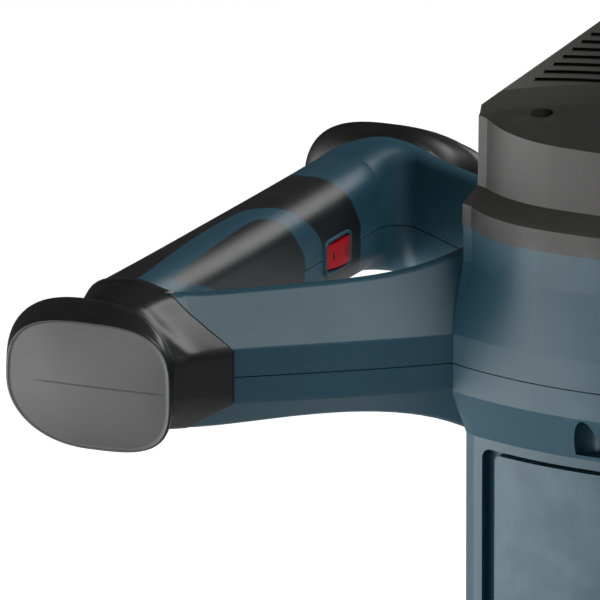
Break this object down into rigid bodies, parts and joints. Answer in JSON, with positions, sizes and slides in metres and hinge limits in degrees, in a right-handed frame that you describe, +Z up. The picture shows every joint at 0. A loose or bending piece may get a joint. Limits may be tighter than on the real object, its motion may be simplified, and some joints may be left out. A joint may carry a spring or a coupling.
{
  "type": "electric jackhammer",
  "caption": "Upright electric demolition hammer with two closed side handle loops, rubber bumpers, vented cap, hex tool socket with swing retainer and crank-driven striking mechanism.",
  "frame": {"origin": "centre of the hexagonal tool socket's mouth", "axes": "+Z up the hammer axis to the motor cap, +X to the right-hand handle loop, -Y to the front, where the tool retainer's slot opens"},
  "size_m": [0.549, 0.36, 0.838],
  "materials": {
    "teal_plastic": "semi-gloss moulded glass-filled nylon, deep blue-teal",
    "soft_grip_rubber": "black soft-touch overmould with a fine satin grain",
    "bumper_rubber": "black semi-gloss rubber bumper",
    "dark_plastic": "dark grey moulded plastic, satin",
    "red_plastic": "red rocker, semi-gloss",
    "black_screws": "black oxide steel",
    "lamination_steel": "stacked electrical steel",
    "copper": "enamelled copper wire and copper segments",
    "carbon": "pressed carbon",
    "brass": "stamped brass",
    "spring_steel": "spring steel",
    "cast_aluminium": "die-cast aluminium",
    "bearing_steel": "ground bearing steel",
    "gear_steel": "case-hardened steel",
    "machined_steel": "ground and turned steel",
    "painted_steel": "black enamelled forged steel",
    "seal_rubber": "nitrile rubber"
  },
  "bodies": {
    "housing": {"anvil_guide": "machined_steel", "armature_bearings": "bearing_steel", "barrel": "painted_steel", "barrel_guard": "dark_plastic", "bearing_plate": "cast_aluminium", "beatpiece_seal": "seal_rubber", "brush_holders": "brass", "brush_plate": "dark_plastic", "brush_springs": "spring_steel", "cable_gland": "dark_plastic", "cap_screws": "black_screws", "carbon_brushes": "carbon", "crank_bearings": "bearing_steel", "cylinder": "machined_steel", "damping_rings": "seal_rubber", "field_windings": "copper", "front_panel": "teal_plastic", "gear_cover": "cast_aluminium", "gear_cover_screws": "black_screws", "gear_housing": "cast_aluminium", "hex_bush": "machined_steel", "housing_screws": "black_screws", "intermediate_bearings": "bearing_steel", "left_front_bumper": "bumper_rubber", "left_grip": "soft_grip_rubber", "left_grip_inlay": "soft_grip_rubber", "left_rear_bumper": "bumper_rubber", "lower_housing": "teal_plastic", "rear_panel": "teal_plastic", "retainer_pins": "machined_steel", "right_front_bumper": "bumper_rubber", "right_grip": "soft_grip_rubber", "right_grip_inlay": "soft_grip_rubber", "right_rear_bumper": "bumper_rubber", "stator_core": "lamination_steel", "switch_module": "dark_plastic", "tie_bolts": "black_screws", "tool_holder": "painted_steel", "top_cap": "dark_plastic", "upper_housing": "teal_plastic"},
    "armature": {"armature_shaft": "gear_steel", "armature_core": "lamination_steel", "armature_windings": "copper", "commutator": "copper", "cooling_fan": "dark_plastic"},
    "intermediate": {"intermediate_shaft": "gear_steel", "intermediate_gear": "gear_steel", "bevel_pinion": "gear_steel"},
    "crank": {"crown_wheel": "gear_steel", "crankshaft": "gear_steel"},
    "piston": {"piston": "machined_steel", "wrist_pin": "gear_steel", "piston_ring": "spring_steel"},
    "con_rod": {"connecting_rod": "gear_steel", "crank_pin": "gear_steel"},
    "ram": {"ram": "machined_steel", "ram_ring": "spring_steel"},
    "beatpiece": {"beatpiece": "machined_steel"},
    "retainer": {"retainer": "painted_steel"},
    "rocker": {"rocker_switch": "red_plastic"}
  },
  "joints": [
    {"name": "armature_spin", "type": "hinge", "parent": "housing", "child": "armature", "pos_m": [0, 0.02813, 0.7], "axis": [0, 0, 1], "continuous": true},
    {"name": "intermediate_spin", "type": "hinge", "parent": "housing", "child": "intermediate", "pos_m": [0, 0, 0.6], "axis": [0, 0, 1], "continuous": true},
    {"name": "crank_spin", "type": "hinge", "parent": "housing", "child": "crank", "pos_m": [0, 0.02, 0.525], "axis": [0, 1, 0], "continuous": true},
    {"name": "piston_slide", "type": "slide", "parent": "housing", "child": "piston", "axis": [0, 0, 1], "range_m": [0, 0.036]},
    {"name": "con_rod_swing", "type": "hinge", "parent": "piston", "child": "con_rod", "pos_m": [0, 0, 0.42], "axis": [0, 1, 0], "range_deg": [-12, 12]},
    {"name": "ram_slide", "type": "slide", "parent": "housing", "child": "ram", "axis": [0, 0, 1], "range_m": [0, 0.05]},
    {"name": "beatpiece_slide", "type": "slide", "parent": "housing", "child": "beatpiece", "axis": [0, 0, 1], "range_m": [0, 0.01]},
    {"name": "retainer_swing", "type": "hinge", "parent": "housing", "child": "retainer", "pos_m": [0, 0, 0.05], "axis": [1, 0, 0], "range_deg": [0, 100]},
    {"name": "rocker_tilt", "type": "hinge", "parent": "housing", "child": "rocker", "pos_m": [-0.2203, 0.074, 0.64], "axis": [0, 0, 1], "range_deg": [0, 14]}
  ],
  "couplings": [
    {"joint": "intermediate_spin", "follows": "armature_spin", "ratio": -0.25},
    {"joint": "crank_spin", "follows": "armature_spin", "ratio": 0.075}
  ]
}
